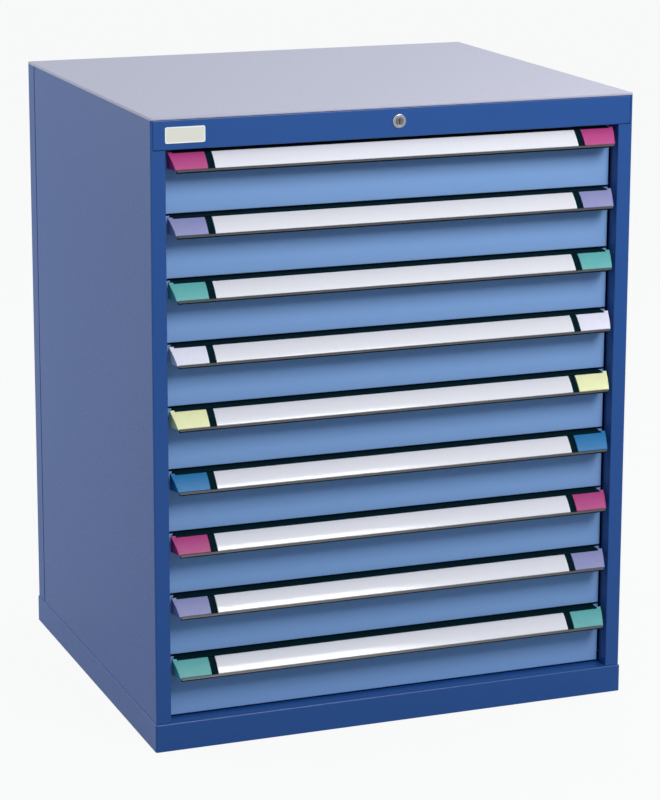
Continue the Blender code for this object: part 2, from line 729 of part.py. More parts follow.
def handle_profile():
    """An extruded section: back flange, flat top and a sloping face with a channel for the label."""
    channel = -LIP_THICKNESS - LABEL_SLOT
    ceiling = FRONT_HEIGHT - HANDLE_WALL
    drop = HANDLE_WALL - math.cos(FACE_ANGLE) * HANDLE_FACE_WALL
    inner_back = -SEAT_GAP - HANDLE_WALL
    outline = [
        (-SEAT_GAP, FRONT_HEIGHT - HANDLE_BACK),
        (-SEAT_GAP, FRONT_HEIGHT),
        face_point(0, 0),
        face_point(TOP_LIP, 0),
        face_point(TOP_LIP, -LIP_THICKNESS),
        face_point(SLOT_START, -LIP_THICKNESS),
        face_point(SLOT_START, channel),
        face_point(SLOT_STOP, channel),
        face_point(SLOT_STOP, -LIP_THICKNESS),
        face_point(HANDLE_FACE - BOTTOM_LIP, -LIP_THICKNESS),
        face_point(HANDLE_FACE - BOTTOM_LIP, 0),
        face_point(HANDLE_FACE, 0),
        face_point(HANDLE_FACE, -HANDLE_FACE_WALL),
        face_point(drop / math.sin(FACE_ANGLE), -HANDLE_FACE_WALL),
        (inner_back, ceiling),
        (inner_back, FRONT_HEIGHT - HANDLE_BACK),
    ]
    return plate("handle", [outline], -HANDLE_END, HANDLE_END, "X")


def strip_in_channel(name, x_low, x_high):
    """A strip seated in the handle's channel, under its two lips."""
    start, stop = SLOT_START + SEAT_GAP, SLOT_STOP - SEAT_GAP
    outer = -LIP_THICKNESS - SEAT_GAP
    outline = [
        face_point(start, outer),
        face_point(stop, outer),
        face_point(stop, outer - LABEL_THICKNESS),
        face_point(start, outer - LABEL_THICKNESS),
    ]
    return plate(name, [outline], x_low, x_high, "X")


def end_cap():
    """The right-hand cap: an insert in the channel and a tapered end plate over the handle's end."""
    low_front = face_point(SLOT_STOP, 0)
    outline = [(-CAP_BACK, FRONT_HEIGHT), face_point(0, 0), low_front, (-CAP_BACK, low_front[1])]
    start = HANDLE_END + SEAT_GAP
    end_plate = plate("end_cap", [outline], start, CAP_OUTER, "X")
    shape = bmesh.new()
    shape.from_mesh(end_plate.data)
    span = -HANDLE_TOP - low_front[0]
    for vertex in shape.verts:
        if vertex.co.x > (start + CAP_OUTER) / 2:
            vertex.co.x -= CAP_TAPER * max(0, -HANDLE_TOP - vertex.co.y) / span
    corner = [
        edge
        for edge in shape.edges
        if all(vertex.co.x > start + WELD_DEPTH for vertex in edge.verts)
        and all(vertex.co.y < -CAP_BACK - WELD_DEPTH for vertex in edge.verts)
    ]
    round_edges(shape, corner, CAP_ROUND, 2)
    shape.to_mesh(end_plate.data)
    shape.free()
    insert = strip_in_channel("insert", CAP_INNER, start + WELD_DEPTH)
    return joined(end_plate, [insert])


# Central lock


def lock_barrel():
    """Rosette, barrel and nut, turned from one profile. Local z is the distance in front of the rail."""
    bore = PLUG_RADIUS + SEAT_GAP
    nut_front = -(SHELL_SHEET + SEAT_GAP)
    profile = [
        (bore, ROSETTE_PROUD),
        (ROSETTE_RADIUS - ROSETTE_EDGE, ROSETTE_PROUD),
        (ROSETTE_RADIUS, ROSETTE_PROUD - ROSETTE_EDGE),
        (ROSETTE_RADIUS, SEAT_GAP),
        (BARREL_RADIUS, SEAT_GAP),
        (BARREL_RADIUS, nut_front),
        (NUT_RADIUS, nut_front),
        (NUT_RADIUS, nut_front - NUT_THICKNESS),
        (BARREL_RADIUS, nut_front - NUT_THICKNESS),
        (BARREL_RADIUS, -BARREL_LENGTH),
        (bore, -BARREL_LENGTH),
    ]
    shape = bmesh.new()
    points = [shape.verts.new((radius, 0, z)) for radius, z in profile]
    for pair in zip(points, points[1:] + points[:1]):
        shape.edges.new(pair)
    turned = mesh_object("turned_barrel", shape)
    screw = turned.modifiers.new("Turn", "SCREW")
    screw.steps = screw.render_steps = ROUND_SIDES
    screw.use_merge_vertices = True
    screw.merge_threshold = WELD_DISTANCE
    facing_forwards = Matrix.Rotation(math.pi / 2, 4, "X")
    turned.matrix_world = Matrix.Translation((0, POST_FACE_Y, LOCK_Z)) @ facing_forwards
    return helper_object("lock_barrel", baked(turned, weld=True))


def lock_plug():
    """The turning plug with its key slot, and the square shank that carries the cam."""
    shoulder = CAM_Y - SEAT_GAP
    front = POST_FACE_Y - ROSETTE_PROUD - PLUG_PROUD
    plug = rod("lock_plug", PLUG_RADIUS, front, shoulder, "Y", (LOCK_Z, 0), ROUND_SIDES)
    half = SHANK_SIDE / 2
    shank_end = CAM_Y + CAM_THICKNESS + PLUG_OVERRUN
    low = (-half, shoulder - WELD_DEPTH, LOCK_Z - half)
    shank = box("shank", low, (half, shank_end, LOCK_Z + half))
    low = (-KEY_SLOT_WIDTH / 2, front - CUT_OVERRUN, LOCK_Z - KEY_SLOT_HEIGHT / 2)
    high = (KEY_SLOT_WIDTH / 2, front + KEY_SLOT_DEPTH, LOCK_Z + KEY_SLOT_HEIGHT / 2)
    return cut(joined(plug, [shank]), [box("key_slot", low, high)])


def lock_cam():
    """An arm on the plug's shank. Its pin starts left of the axis and swings over the top to the right."""
    hub = (0, LOCK_Z)
    pin = (-PIN_SIDE, LOCK_Z + PIN_LOW)
    hole = SHANK_SIDE / 2 + SEAT_GAP
    stop = CAM_Y + CAM_THICKNESS
    outline = belt(hub, CAM_HUB_RADIUS, pin, CAM_PIN_BOSS)
    window = rectangle(-hole, LOCK_Z - hole, hole, LOCK_Z + hole)
    arm = plate("lock_cam", [outline, window], CAM_Y, stop, "Y")
    reach = CROSS_BAR_Y + BAR_THICKNESS + CAM_PIN_TAIL
    centre = (pin[1], pin[0])
    stud = rod("cam_pin", CAM_PIN_RADIUS, stop - WELD_DEPTH, reach, "Y", centre, ROLLER_SIDES)
    return joined(arm, [stud])


def cross_bar():
    """The bar that the cam pushes sideways. A pin at its left end is riveted flush in the locking bar."""
    low = CROSS_BAR_Z - CROSS_BAR_HEIGHT / 2
    high = CROSS_BAR_Z + CROSS_BAR_HEIGHT / 2
    slot_radius = CAM_PIN_RADIUS + CAM_SLOT_PLAY
    slot_foot = (-PIN_SIDE, LOCK_Z + PIN_LOW - SLOT_PLAY)
    slot_head = (-PIN_SIDE, LOCK_Z + CAM_ARM + SLOT_PLAY)
    outlines = [
        rectangle(-LOCK_BAR_OUTER, low, slot_radius + CROSS_BAR_MARGIN - PIN_SIDE, high),
        belt(slot_foot, slot_radius, slot_head, slot_radius),
    ]
    stop = CROSS_BAR_Y + BAR_THICKNESS
    bar = plate("lock_cross_bar", outlines, CROSS_BAR_Y, stop, "Y")
    start, centre = stop - WELD_DEPTH, (CROSS_BAR_Z, RIVET_X)
    pin = rod("rivet", RIVET_RADIUS, start, LOCK_BAR_Y + BAR_THICKNESS, "Y", centre, ROLLER_SIDES)
    return joined(bar, [pin])


def locking_bar():
    """A flat upright bar behind the left post that moves in front of every drawer's catch."""
    foot = PANEL_FOOT + LOCK_BAR_FOOT
    top = CROSS_BAR_Z + CROSS_BAR_HEIGHT / 2
    hole = arc((RIVET_X, CROSS_BAR_Z), RIVET_RADIUS + SEAT_GAP, 0, 2 * math.pi, ROLLER_SIDES)[:-1]
    outlines = [rectangle(-LOCK_BAR_OUTER, foot, -LOCK_BAR_INNER, top), hole]
    return plate("locking_bar", outlines, LOCK_BAR_Y, LOCK_BAR_Y + BAR_THICKNESS, "Y")


def bar_guide(name, share):
    """A fork on the left side panel. The locking bar slides sideways between its two prongs."""
    outer = PANEL_INNER - SEAT_GAP
    slot_front = LOCK_BAR_Y - SLOT_PLAY
    slot_back = LOCK_BAR_Y + BAR_THICKNESS + SLOT_PLAY
    front, back = slot_front - GUIDE_MARGIN, slot_back + GUIDE_MARGIN
    slot_end = LOCK_BAR_OUTER + SLOT_PLAY
    outline = [
        (-outer, front),
        (-OPENING_HALF, front),
        (-OPENING_HALF, slot_front),
        (-slot_end, slot_front),
        (-slot_end, slot_back),
        (-OPENING_HALF, slot_back),
        (-OPENING_HALF, back),
        (-outer, back),
    ]
    middle = PANEL_FOOT + (PANEL_TOP - PANEL_FOOT) * share
    half = GUIDE_THICKNESS / 2
    return plate(name, [outline], middle - half, middle + half, "Z")


# Assembly


def build_housing():
    paint = new_material("housing_paint", HOUSING_BLUE, 0.40)
    zinc = new_material("zinc", ZINC, 0.40, 1.0)
    place("top_cover", baked(top_cover()), new_material("top_paint", TOP_GREY, 0.50))
    place("base_pan", baked(base_pan()), paint)
    place("left_side_panel", baked(side_panel("left_side_panel", -1)), paint)
    place("right_side_panel", baked(side_panel("right_side_panel", 1)), paint)
    place("back_panel", baked(back_panel()), paint)
    place("front_cross_rail", baked(front_cross_rail()), paint)
    place("left_runner_frame", baked(runner_frame("left_runner_frame", -1)), zinc)
    place("right_runner_frame", baked(runner_frame("right_runner_frame", 1)), zinc)


def build_lock():
    chrome = new_material("chrome", CHROME, 0.18, 1.0)
    steel = new_material("dark_steel", DARK_STEEL, 0.40, 1.0)
    place("lock_barrel", baked(lock_barrel()), chrome)
    turning = bpy.data.objects.new("lock_turn", None)
    turning.location = (0, POST_FACE_Y, LOCK_Z)
    cabinet.objects.link(turning)
    for name, piece, material in (("lock_plug", lock_plug(), chrome), ("lock_cam", lock_cam(), steel)):
        mesh = baked(piece)
        mesh.transform(Matrix.Translation((0, -POST_FACE_Y, -LOCK_Z)))
        place(name, mesh, material, turning)
    place("lock_cross_bar", baked(cross_bar()), steel)
    place("locking_bar", baked(locking_bar()), steel)
    for end, share in GUIDE_PLACE_SHARES.items():
        name = "locking_bar_guide_" + end
        place(name, baked(bar_guide(name, share)), steel)


def build_drawers():
    paint = new_material("drawer_paint", DRAWER_BLUE, 0.45)
    black = new_material("handle_black", BLACK, 0.40)
    paper = new_material("label_strip", LABEL_WHITE, 0.35)
    plastics = {name: new_material("cap_" + name, colour, 0.35) for name, colour in CAP_COLOURS.items()}
    tray = baked(drawer_tray())
    handle = baked(handle_profile())
    label = baked(strip_in_channel("label", -LABEL_HALF, LABEL_HALF))
    right_cap = baked(end_cap())
    left_cap = right_cap.copy()
    left_cap.transform(Matrix.Scale(-1, 4, (1, 0, 0)))
    left_cap.flip_normals()
    for number in range(1, DRAWER_COUNT + 1):
        slide = bpy.data.objects.new(f"drawer_{number}_slide", None)
        slide.location = (0, SKIN_Y, cell_floor(number))
        cabinet.objects.link(slide)
        colour = CAP_ORDER[(number - 1) % len(CAP_ORDER)]
        place(f"drawer_{number}_tray", tray, paint, slide)
        place(f"drawer_{number}_handle", handle, black, slide)
        place(f"drawer_{number}_label", label, paper, slide)
        place(f"drawer_{number}_cap_left", left_cap, plastics[colour], slide)
        place(f"drawer_{number}_cap_right", right_cap, plastics[colour], slide)


clear_scene()
cabinet = new_collection("drawer_cabinet")
helpers = new_collection("helpers")
build_housing()
build_lock()
build_drawers()
bpy.data.collections.remove(helpers)
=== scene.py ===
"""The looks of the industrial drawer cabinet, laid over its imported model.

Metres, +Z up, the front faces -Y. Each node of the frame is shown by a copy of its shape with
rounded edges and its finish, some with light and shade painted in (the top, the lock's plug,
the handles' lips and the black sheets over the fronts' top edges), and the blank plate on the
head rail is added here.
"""

import json
import math

import bmesh
import bpy
from mathutils import Matrix, Vector

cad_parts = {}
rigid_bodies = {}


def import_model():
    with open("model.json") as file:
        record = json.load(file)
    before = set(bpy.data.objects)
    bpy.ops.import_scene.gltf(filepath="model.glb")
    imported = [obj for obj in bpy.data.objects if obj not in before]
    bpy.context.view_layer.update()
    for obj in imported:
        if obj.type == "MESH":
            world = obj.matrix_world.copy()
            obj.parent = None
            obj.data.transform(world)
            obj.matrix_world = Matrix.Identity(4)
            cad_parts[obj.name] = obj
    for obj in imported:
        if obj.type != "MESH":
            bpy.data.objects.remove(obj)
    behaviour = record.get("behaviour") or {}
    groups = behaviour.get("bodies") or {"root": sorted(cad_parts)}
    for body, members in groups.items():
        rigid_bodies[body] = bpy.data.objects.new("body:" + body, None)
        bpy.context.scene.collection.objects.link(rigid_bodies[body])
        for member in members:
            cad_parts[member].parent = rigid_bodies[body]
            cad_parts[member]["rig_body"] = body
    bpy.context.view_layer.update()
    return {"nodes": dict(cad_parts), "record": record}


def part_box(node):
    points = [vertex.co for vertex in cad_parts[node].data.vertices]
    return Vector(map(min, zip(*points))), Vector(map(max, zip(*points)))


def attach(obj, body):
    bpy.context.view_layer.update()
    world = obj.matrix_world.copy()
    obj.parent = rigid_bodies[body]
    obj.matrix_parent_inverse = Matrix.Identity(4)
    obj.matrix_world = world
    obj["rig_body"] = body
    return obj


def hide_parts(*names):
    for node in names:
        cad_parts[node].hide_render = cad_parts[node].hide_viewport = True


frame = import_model()

# Camera, with its angles in degrees and its lens in millimetres
CAMERA_PLACE = (-1.6467, -4.3288, 1.6312)
CAMERA_ANGLES = (77.331, -0.142, -20.998)
CAMERA_LENS = 127.5
CAMERA_SHIFT = (0.0, -0.1)

# Lamps: place, target, side length, power in watts and colour
WHITE = (1, 1, 1)
LAMPS = {
    "key": ((0.7, -2.6, 2.5), (0, 0, 0.9), 1.25, 81, (1.05, 1.0, 0.96)),
    "top": ((1.6, 0.8, 3.0), (0, 0, 0.9), 2.2, 46, WHITE),
    "side": ((-3.2, 2.1, 1.5), (-0.4, 0.0, 0.8), 2.2, 82, WHITE),
}

# The floor and the surround, as they light the cabinet and as they are seen
FLOOR_HALF_SIZE = 45
FLOOR_COLOUR = (0.29, 0.34, 0.39)
FLOOR_ROUGHNESS = 0.9
FLOOR_WHITE_SEEN = 0.93
FLOOR_WHITE_MIRRORED = 0.55
FILL_COLOUR = (0.60, 0.97, 1.25)
FILL_STRENGTH = 0.30

# Rounded edges
EDGE_ANGLE = math.radians(40)
FLAT_ANGLE = math.radians(0.4)
WELD_DISTANCE = 0.00001
SHEET_ROUND = 0.0005
PROFILE_ROUND = 0.0003
CAP_ROUND = 0.0002
METAL_ROUND = 0.0003
SEAM_ROUND = 0.0002
BEVEL_NAME = "Rounded edges"
NORMAL_WEIGHT = 100

# The sloping face of a handle, with its label and caps
FACE_ANGLE = math.radians(48)
DOWN_FACE = Vector((0, -math.cos(FACE_ANGLE), -math.sin(FACE_ANGLE)))
OUT_OF_FACE = Vector((0, -math.sin(FACE_ANGLE), math.cos(FACE_ANGLE)))
LIP_COVER = 0.001
LIP_LENGTH = 0.004
LIP_FACING = 0.99
STRIP_EDGE = 0.0005
STRIP_WELD = STRIP_EDGE / 2
STRIP_CLEAN = STRIP_EDGE / 4
STRIP_DEPTH = 0.0011
STRIP_CROWN = 0.0012
STRIP_CUTS = 7
SHARE_SLACK = 0.001

# A thin black sheet from the handle over the front's top edge: painted shade in the gap above the
# label
SHADE_SHEET_THICKNESS = 0.0006
SHADE_SHEET_START = 0.010
SHADE_SHEET_DEPTH = 0.012
SHADE_SHEET_SINK = 0.0002

# The blank plate on the head rail
PLATE_LEFT = -0.3775
PLATE_WIDTH = 0.0635
PLATE_FOOT = 0.960
PLATE_HEIGHT = 0.025
PLATE_THICKNESS = 0.0008
PLATE_STRAIGHT = PLATE_THICKNESS * 0.6
PLATE_EDGE = 0.0003
PLATE_CORNER = 0.003
PLATE_CORNER_STEPS = 6
PLATE_CORNER_LOSS = 0.8
PLATE_BORDER = 0.0016
PLATE_RECESS = 0.0002
PLATE_SHARP_ANGLE = math.radians(35)

DRAWERS = range(1, 10)

# The middle range of a texture, where most of its values lie
TEXTURE_LOW = 0.3
TEXTURE_HIGH = 0.7


# Materials


def set_inputs(node, **values):
    """Sets a node's inputs by their names, with an underscore for each space."""
    for name, value in values.items():
        node.inputs[name.replace("_", " ")].default_value = value


def add_node(tree, kind, **values):
    made = tree.nodes.new(kind)
    set_inputs(made, **values)
    return made


def opaque(colour):
    return (*colour, 1)


class Shader:
    """A material's node tree, with short calls for what every material here uses."""

    def __init__(self, name):
        self.material = bpy.data.materials.new(name)
        self.material.use_nodes = True
        self.tree = self.material.node_tree
        self.surface = self.tree.nodes["Principled BSDF"]
        self.place = self.node("ShaderNodeTexCoord").outputs["Object"]

    def node(self, kind, **values):
        return add_node(self.tree, kind, **values)

    def link(self, source, target):
        self.tree.links.new(source, target)

    def stretched(self, scale):
        """The place in the object, scaled by three factors."""
        mapping = self.node("ShaderNodeMapping", Scale=scale)
        self.link(self.place, mapping.inputs["Vector"])
        return mapping.outputs["Vector"]

    def noise(self, scale, detail, stretch=None):
        made = self.node("ShaderNodeTexNoise", Scale=scale, Detail=detail)
        self.link(self.stretched(stretch) if stretch else self.place, made.inputs["Vector"])
        return made.outputs["Fac"]

    def shades(self, source, colour, spread):
        """The colour, a little darker and lighter along a texture."""
        made = self.node("ShaderNodeValToRGB")
        stops = made.color_ramp.elements
        stops[0].position, stops[1].position = TEXTURE_LOW, TEXTURE_HIGH
        for stop, factor in zip(stops, (1 - spread, 1 + spread)):
            stop.color = opaque(min(1, channel * factor) for channel in colour)
        self.link(source, made.inputs["Fac"])
        self.link(made.outputs["Color"], self.surface.inputs["Base Color"])

    def roughness(self, source, limits):
        """Maps a texture's middle range to the roughness between two limits."""
        made = self.node(
            "ShaderNodeMapRange",
            From_Min=TEXTURE_LOW, From_Max=TEXTURE_HIGH, To_Min=limits[0], To_Max=limits[1],
        )
        self.link(source, made.inputs["Value"])
        self.link(made.outputs["Result"], self.surface.inputs["Roughness"])

    def bump(self, *layers):
        """Adds bump layers, each a texture and its height in metres."""
        normal = None
        for source, height in layers:
            made = self.node("ShaderNodeBump", Strength=1, Distance=height)
            self.link(source, made.inputs["Height"])
            if normal:
                self.link(normal, made.inputs["Normal"])
            normal = made.outputs["Normal"]
        self.link(normal, self.surface.inputs["Normal"])

    def set(self, **values):
        set_inputs(self.surface, **values)


def powder_coat(name, colour, roughness, index):
    """Satin powder coat: an orange-peel skin with a finer grain on it."""
    shader = Shader(name)
    shader.shades(shader.noise(scale=900, detail=2), colour, spread=0.04)
    shader.roughness(shader.noise(scale=160, detail=2), roughness)
    peel = shader.noise(scale=420, detail=1)
    grain = shader.noise(scale=1800, detail=2)
    shader.bump((peel, 0.00003), (grain, 0.000012))
    shader.set(IOR=index)
    return shader.material


def moulded_plastic(name, colour):
    """Satin plastic with the even grain of its mould."""
    shader = Shader(name)
    shader.shades(shader.noise(scale=60, detail=2), colour, spread=0.03)
    shader.roughness(shader.noise(scale=90, detail=3), (0.46, 0.54))
    shader.bump((shader.noise(scale=2600, detail=2), 0.000008))
    shader.set(IOR=1.42)
    return shader.material


def black_extrusion(name, colour, roughness, index):
    """Black anodised aluminium with fine die lines along its length."""
    shader = Shader(name)
    lines = shader.noise(scale=1, detail=3, stretch=(6, 2400, 2400))
    shader.shades(shader.noise(scale=40, detail=2), colour, spread=0.10)
    shader.roughness(lines, roughness)
    shader.bump((lines, 0.000006))
    shader.set(IOR=index)
    return shader.material


def label_strip(name, colour):
    """Card under a clear cover: a faint fibre below, a smooth coat above."""
    shader = Shader(name)
    fibre = shader.noise(scale=1, detail=4, stretch=(500, 1600, 1600))
    shader.shades(fibre, colour, spread=0.015)
    shader.roughness(shader.noise(scale=300, detail=2), (0.42, 0.50))
    shader.bump((fibre, 0.000006))
    shader.set(Coat_Weight=0.5, Coat_Roughness=0.12)
    return shader.material


def plated_steel(name, colour, roughness, grain):
    """Plated sheet with the soft patches that a bath leaves."""
    shader = Shader(name)
    patches = shader.node("ShaderNodeTexVoronoi", Scale=grain)
    shader.link(shader.place, patches.inputs["Vector"])
    shader.shades(patches.outputs["Distance"], colour, spread=0.10)
    shader.roughness(shader.noise(scale=grain * 2, detail=3), roughness)
    shader.bump((shader.noise(scale=900, detail=3), 0.00001))
    shader.set(Metallic=1)
    return shader.material


def chrome_plate(name, colour):
    """Bright plating with a trace of wear."""
    shader = Shader(name)
    wear = shader.noise(scale=700, detail=4)
    shader.shades(wear, colour, spread=0.02)
    shader.roughness(wear, (0.12, 0.20))
    shader.bump((shader.noise(scale=1500, detail=2), 0.000004))
    shader.set(Metallic=1)
    return shader.material


def plate_enamel(name, colour):
    """The satin skin of the blank plate."""
    shader = Shader(name)
    shader.shades(shader.noise(scale=900, detail=3), colour, spread=0.02)
    shader.roughness(shader.noise(scale=400, detail=2), (0.38, 0.46))
    shader.bump((shader.noise(scale=1500, detail=2), 0.000005))
    return shader.material


# One for each of the record's material slots, and two more: a darker chrome for the lock's plug,
# which paints in dark reflection, and a lighter black for a handle's lip, which paints in a
# highlight
materials = {
    "housing_paint": powder_coat(
        "housing_powder_coat", (0.012, 0.068, 0.255), roughness=(0.34, 0.40), index=1.40
    ),
    # The top's pale grey-lavender is painted sheen: it stands in for the white sheen that the
    # cabinet's blue paint shows on the top
    "top_paint": powder_coat(
        "top_powder_coat_painted_sheen", (0.335, 0.330, 0.415), roughness=(0.40, 0.48), index=1.45
    ),
    "drawer_paint": powder_coat(
        "drawer_powder_coat", (0.190, 0.335, 0.620), roughness=(0.40, 0.48), index=1.38
    ),
    "zinc": plated_steel(
        "zinc_plated_sheet", (0.42, 0.43, 0.44), roughness=(0.34, 0.46), grain=120
    ),
    "dark_steel": plated_steel(
        "dark_plated_steel", (0.10, 0.10, 0.11), roughness=(0.36, 0.46), grain=200
    ),
    "chrome": chrome_plate("polished_chrome", (0.50, 0.51, 0.53)),
    # The lock's plug: a darker copy of the chrome, a painted dark reflection of the surround
    "plug": chrome_plate("plug_chrome_painted_dark_reflection", (0.26, 0.27, 0.28)),
    "handle_black": black_extrusion(
        "black_anodised_extrusion", (0.001, 0.011, 0.017), roughness=(0.50, 0.60), index=1.08
    ),
    # The lower lip's face: a lighter, glossier copy of the black anodising, a painted highlight
    # where the lip's nose catches the light
    "handle_lip_painted_highlight": black_extrusion(
        "black_anodised_lip_painted_highlight", (0.030, 0.032, 0.036), roughness=(0.30, 0.40), index=1.50
    ),
    "label_strip": label_strip("covered_label_card", (0.64, 0.63, 0.68)),
    "cap_magenta": moulded_plastic("magenta_plastic", (0.37, 0.034, 0.175)),
    "cap_lavender": moulded_plastic("lavender_plastic", (0.220, 0.225, 0.430)),
    "cap_green": moulded_plastic("green_plastic", (0.090, 0.350, 0.350)),
    "cap_pearl": moulded_plastic("pearl_plastic", (0.68, 0.66, 0.77)),
    "cap_yellow": moulded_plastic("yellow_plastic", (0.75, 0.75, 0.42)),
    "cap_blue": moulded_plastic("blue_plastic", (0.004, 0.140, 0.345)),
}


# Pieces


def finished(name, shape, material, body, shift=(0, 0, 0)):
    """Makes a piece from a bmesh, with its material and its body."""
    mesh = bpy.data.meshes.new(name)
    shape.to_mesh(mesh)
    shape.free()
    mesh.materials.append(material)
    piece = bpy.data.objects.new(name, mesh)
    bpy.context.scene.collection.objects.link(piece)
    piece.matrix_world = Matrix.Translation(shift)
    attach(piece, body)
    return piece


def rounded(piece, radius, segments):
    """Rounds the piece's sharp edges, and shades it smooth with its flat faces kept flat."""
    piece.data.shade_smooth()
    bevel = piece.modifiers.new(BEVEL_NAME, "BEVEL")
    bevel.width = radius
    bevel.segments = segments
    bevel.limit_method = "ANGLE"
    bevel.angle_limit = EDGE_ANGLE
    bevel.use_clamp_overlap = True
    bevel.miter_outer = "MITER_ARC"
    weighted = piece.modifiers.new("Weighted normals", "WEIGHTED_NORMAL")
    weighted.mode = "FACE_AREA"
    weighted.weight = NORMAL_WEIGHT
    return piece


def node_shape(node):
    """A frame node's mesh as a bmesh of whole faces: welded, and without inner edges."""
    shape = bmesh.new()
    shape.from_mesh(frame["nodes"][node].data)
    bmesh.ops.remove_doubles(shape, verts=shape.verts, dist=WELD_DISTANCE)
    bmesh.ops.dissolve_limit(
        shape,
        angle_limit=FLAT_ANGLE,
        verts=shape.verts,
        edges=shape.edges,
        use_dissolve_boundaries=False,
    )
    return shape


def dressed(node, radius, segments=2, shape=None, shift=(0, 0, 0)):
    """Shows a node by a shape, its own one if none is given, with rounded edges and its finish."""
    rows = frame["record"]["subparts"]
    slot = next(row["material_slot"] for row in rows if row["node"] == node)
    body = frame["nodes"][node]["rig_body"]
    shape = shape or node_shape(node)
    piece = finished(node + "_finish", shape, materials[slot], body, shift)
    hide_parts(node)
    return rounded(piece, radius, segments)


def strip_limits(node):
    """Where a label starts and stops down its handle's face, and how far out its face lies."""
    points = [vertex.co for vertex in frame["nodes"][node].data.vertices]
    out = max(point.dot(OUT_OF_FACE) for point in points)
    along = [
        point.dot(DOWN_FACE) for point in points if point.dot(OUT_OF_FACE) > out - STRIP_EDGE
    ]
    return min(along) + LIP_COVER, max(along) - LIP_COVER, out


def crowned(node, limits):
    """The node's shape, its strip filled out between the handle's lips and bulging a little."""
    start, stop, strip_out = limits
    inner_start, inner_stop = start + STRIP_EDGE, stop - STRIP_EDGE
    length = inner_stop - inner_start
    cuts = [start, stop]
    cuts += [inner_start + length * step / (STRIP_CUTS + 1) for step in range(STRIP_CUTS + 2)]
    shape = node_shape(node)
    for cut in cuts:
        bmesh.ops.bisect_plane(
            shape,
            geom=[*shape.verts, *shape.edges, *shape.faces],
            plane_co=DOWN_FACE * cut,
            plane_no=DOWN_FACE,
        )
    bmesh.ops.remove_doubles(shape, verts=shape.verts, dist=STRIP_WELD)
    for vertex in shape.verts:
        out = vertex.co.dot(OUT_OF_FACE)
        share = (vertex.co.dot(DOWN_FACE) - inner_start) / length
        if not -SHARE_SLACK < share < 1 + SHARE_SLACK or out < strip_out - STRIP_EDGE:
            continue
        # A parabola of height 1 over the strip
        rise = STRIP_CROWN * 4 * share * (1 - share)
        if out < strip_out + STRIP_EDGE:
            rise += STRIP_DEPTH
        vertex.co += OUT_OF_FACE * rise
    bmesh.ops.remove_doubles(shape, verts=shape.verts, dist=STRIP_CLEAN)
    bmesh.ops.dissolve_degenerate(shape, edges=shape.edges, dist=STRIP_CLEAN)
    return shape


def add_box(shape, low, high):
    """Adds a box between two corners."""
    for vertex in bmesh.ops.create_cube(shape, size=1)["verts"]:
        for axis in range(3):
            vertex.co[axis] = low[axis] if vertex.co[axis] < 0 else high[axis]


def handle_shape(node):
    """The handle's shape with a thin black sheet over the front's top edge as painted shade in the
    gap above the label, and with the lower lip's face on a second material, a lighter black that
    paints a highlight.
    """
    shape = node_shape(node)
    low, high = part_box(node)
    # A thin black sheet over the front's top edge: painted shade, darkening the front's lit top
    # edge seen in the gap above the label
    add_box(
        shape,
        (low.x, high.y - SHADE_SHEET_START, high.z - SHADE_SHEET_SINK),
        (high.x, high.y + SHADE_SHEET_DEPTH, high.z + SHADE_SHEET_THICKNESS),
    )
    # The lower lip's outward face takes the second material, the lighter black that paints a
    # highlight on the lip
    lip_start = max(vertex.co.dot(DOWN_FACE) for vertex in shape.verts) - LIP_LENGTH
    for face in shape.faces:
        outward = face.normal.dot(OUT_OF_FACE) > LIP_FACING
        if outward and face.calc_center_median().dot(DOWN_FACE) > lip_start:
            face.material_index = 1
    return shape


def rounded_rectangle(low, high, corner):
    """Outline points of a rectangle in x and z with rounded corners."""
    middle_x, middle_z = (low[0] + high[0]) / 2, (low[1] + high[1]) / 2
    corners = ((high[0], high[1]), (low[0], high[1]), (low[0], low[1]), (high[0], low[1]))
    points = []
    for turn, (x, z) in enumerate(corners):
        centre_x = x - math.copysign(corner, x - middle_x)
        centre_z = z - math.copysign(corner, z - middle_z)
        for step in range(PLATE_CORNER_STEPS + 1):
            angle = math.pi / 2 * (turn + step / PLATE_CORNER_STEPS)
            x_out, z_out = corner * math.cos(angle), corner * math.sin(angle)
            points.append((centre_x + x_out, centre_z + z_out))
    return points


def blank_plate():
    """A blank pale plate at the left of the head rail, with a raised border."""
    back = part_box("front_cross_rail")[0].y
    front = back - PLATE_THICKNESS
    # How far each ring of the surface lies inside the outline, and its y, from the back forward
    profile = (
        (0, back),
        (0, back - PLATE_STRAIGHT),
        (PLATE_EDGE, front),
        (PLATE_BORDER, front),
        (PLATE_BORDER + PLATE_RECESS, front + PLATE_RECESS),
    )
    shape = bmesh.new()
    rings = []
    for inset, y in profile:
        outline = rounded_rectangle(
            (PLATE_LEFT + inset, PLATE_FOOT + inset),
            (PLATE_LEFT + PLATE_WIDTH - inset, PLATE_FOOT + PLATE_HEIGHT - inset),
            PLATE_CORNER - inset * PLATE_CORNER_LOSS,
        )
        rings.append([shape.verts.new((x, y, z)) for x, z in outline])
    for ring, following in zip(rings, rings[1:]):
        for index in range(len(ring)):
            after = (index + 1) % len(ring)
            shape.faces.new((ring[index], ring[after], following[after], following[index]))
    shape.faces.new(rings[0][::-1])
    shape.faces.new(rings[-1]).material_index = 1
    bmesh.ops.recalc_face_normals(shape, faces=shape.faces)
    border = plate_enamel("plate_border", (0.88, 0.88, 0.85))
    piece = finished("blank_plate", shape, border, "carcass")
    piece.data.materials.append(plate_enamel("plate_field", (0.72, 0.70, 0.61)))
    piece.data.shade_smooth()
    piece.data.set_sharp_from_angle(angle=PLATE_SHARP_ANGLE)


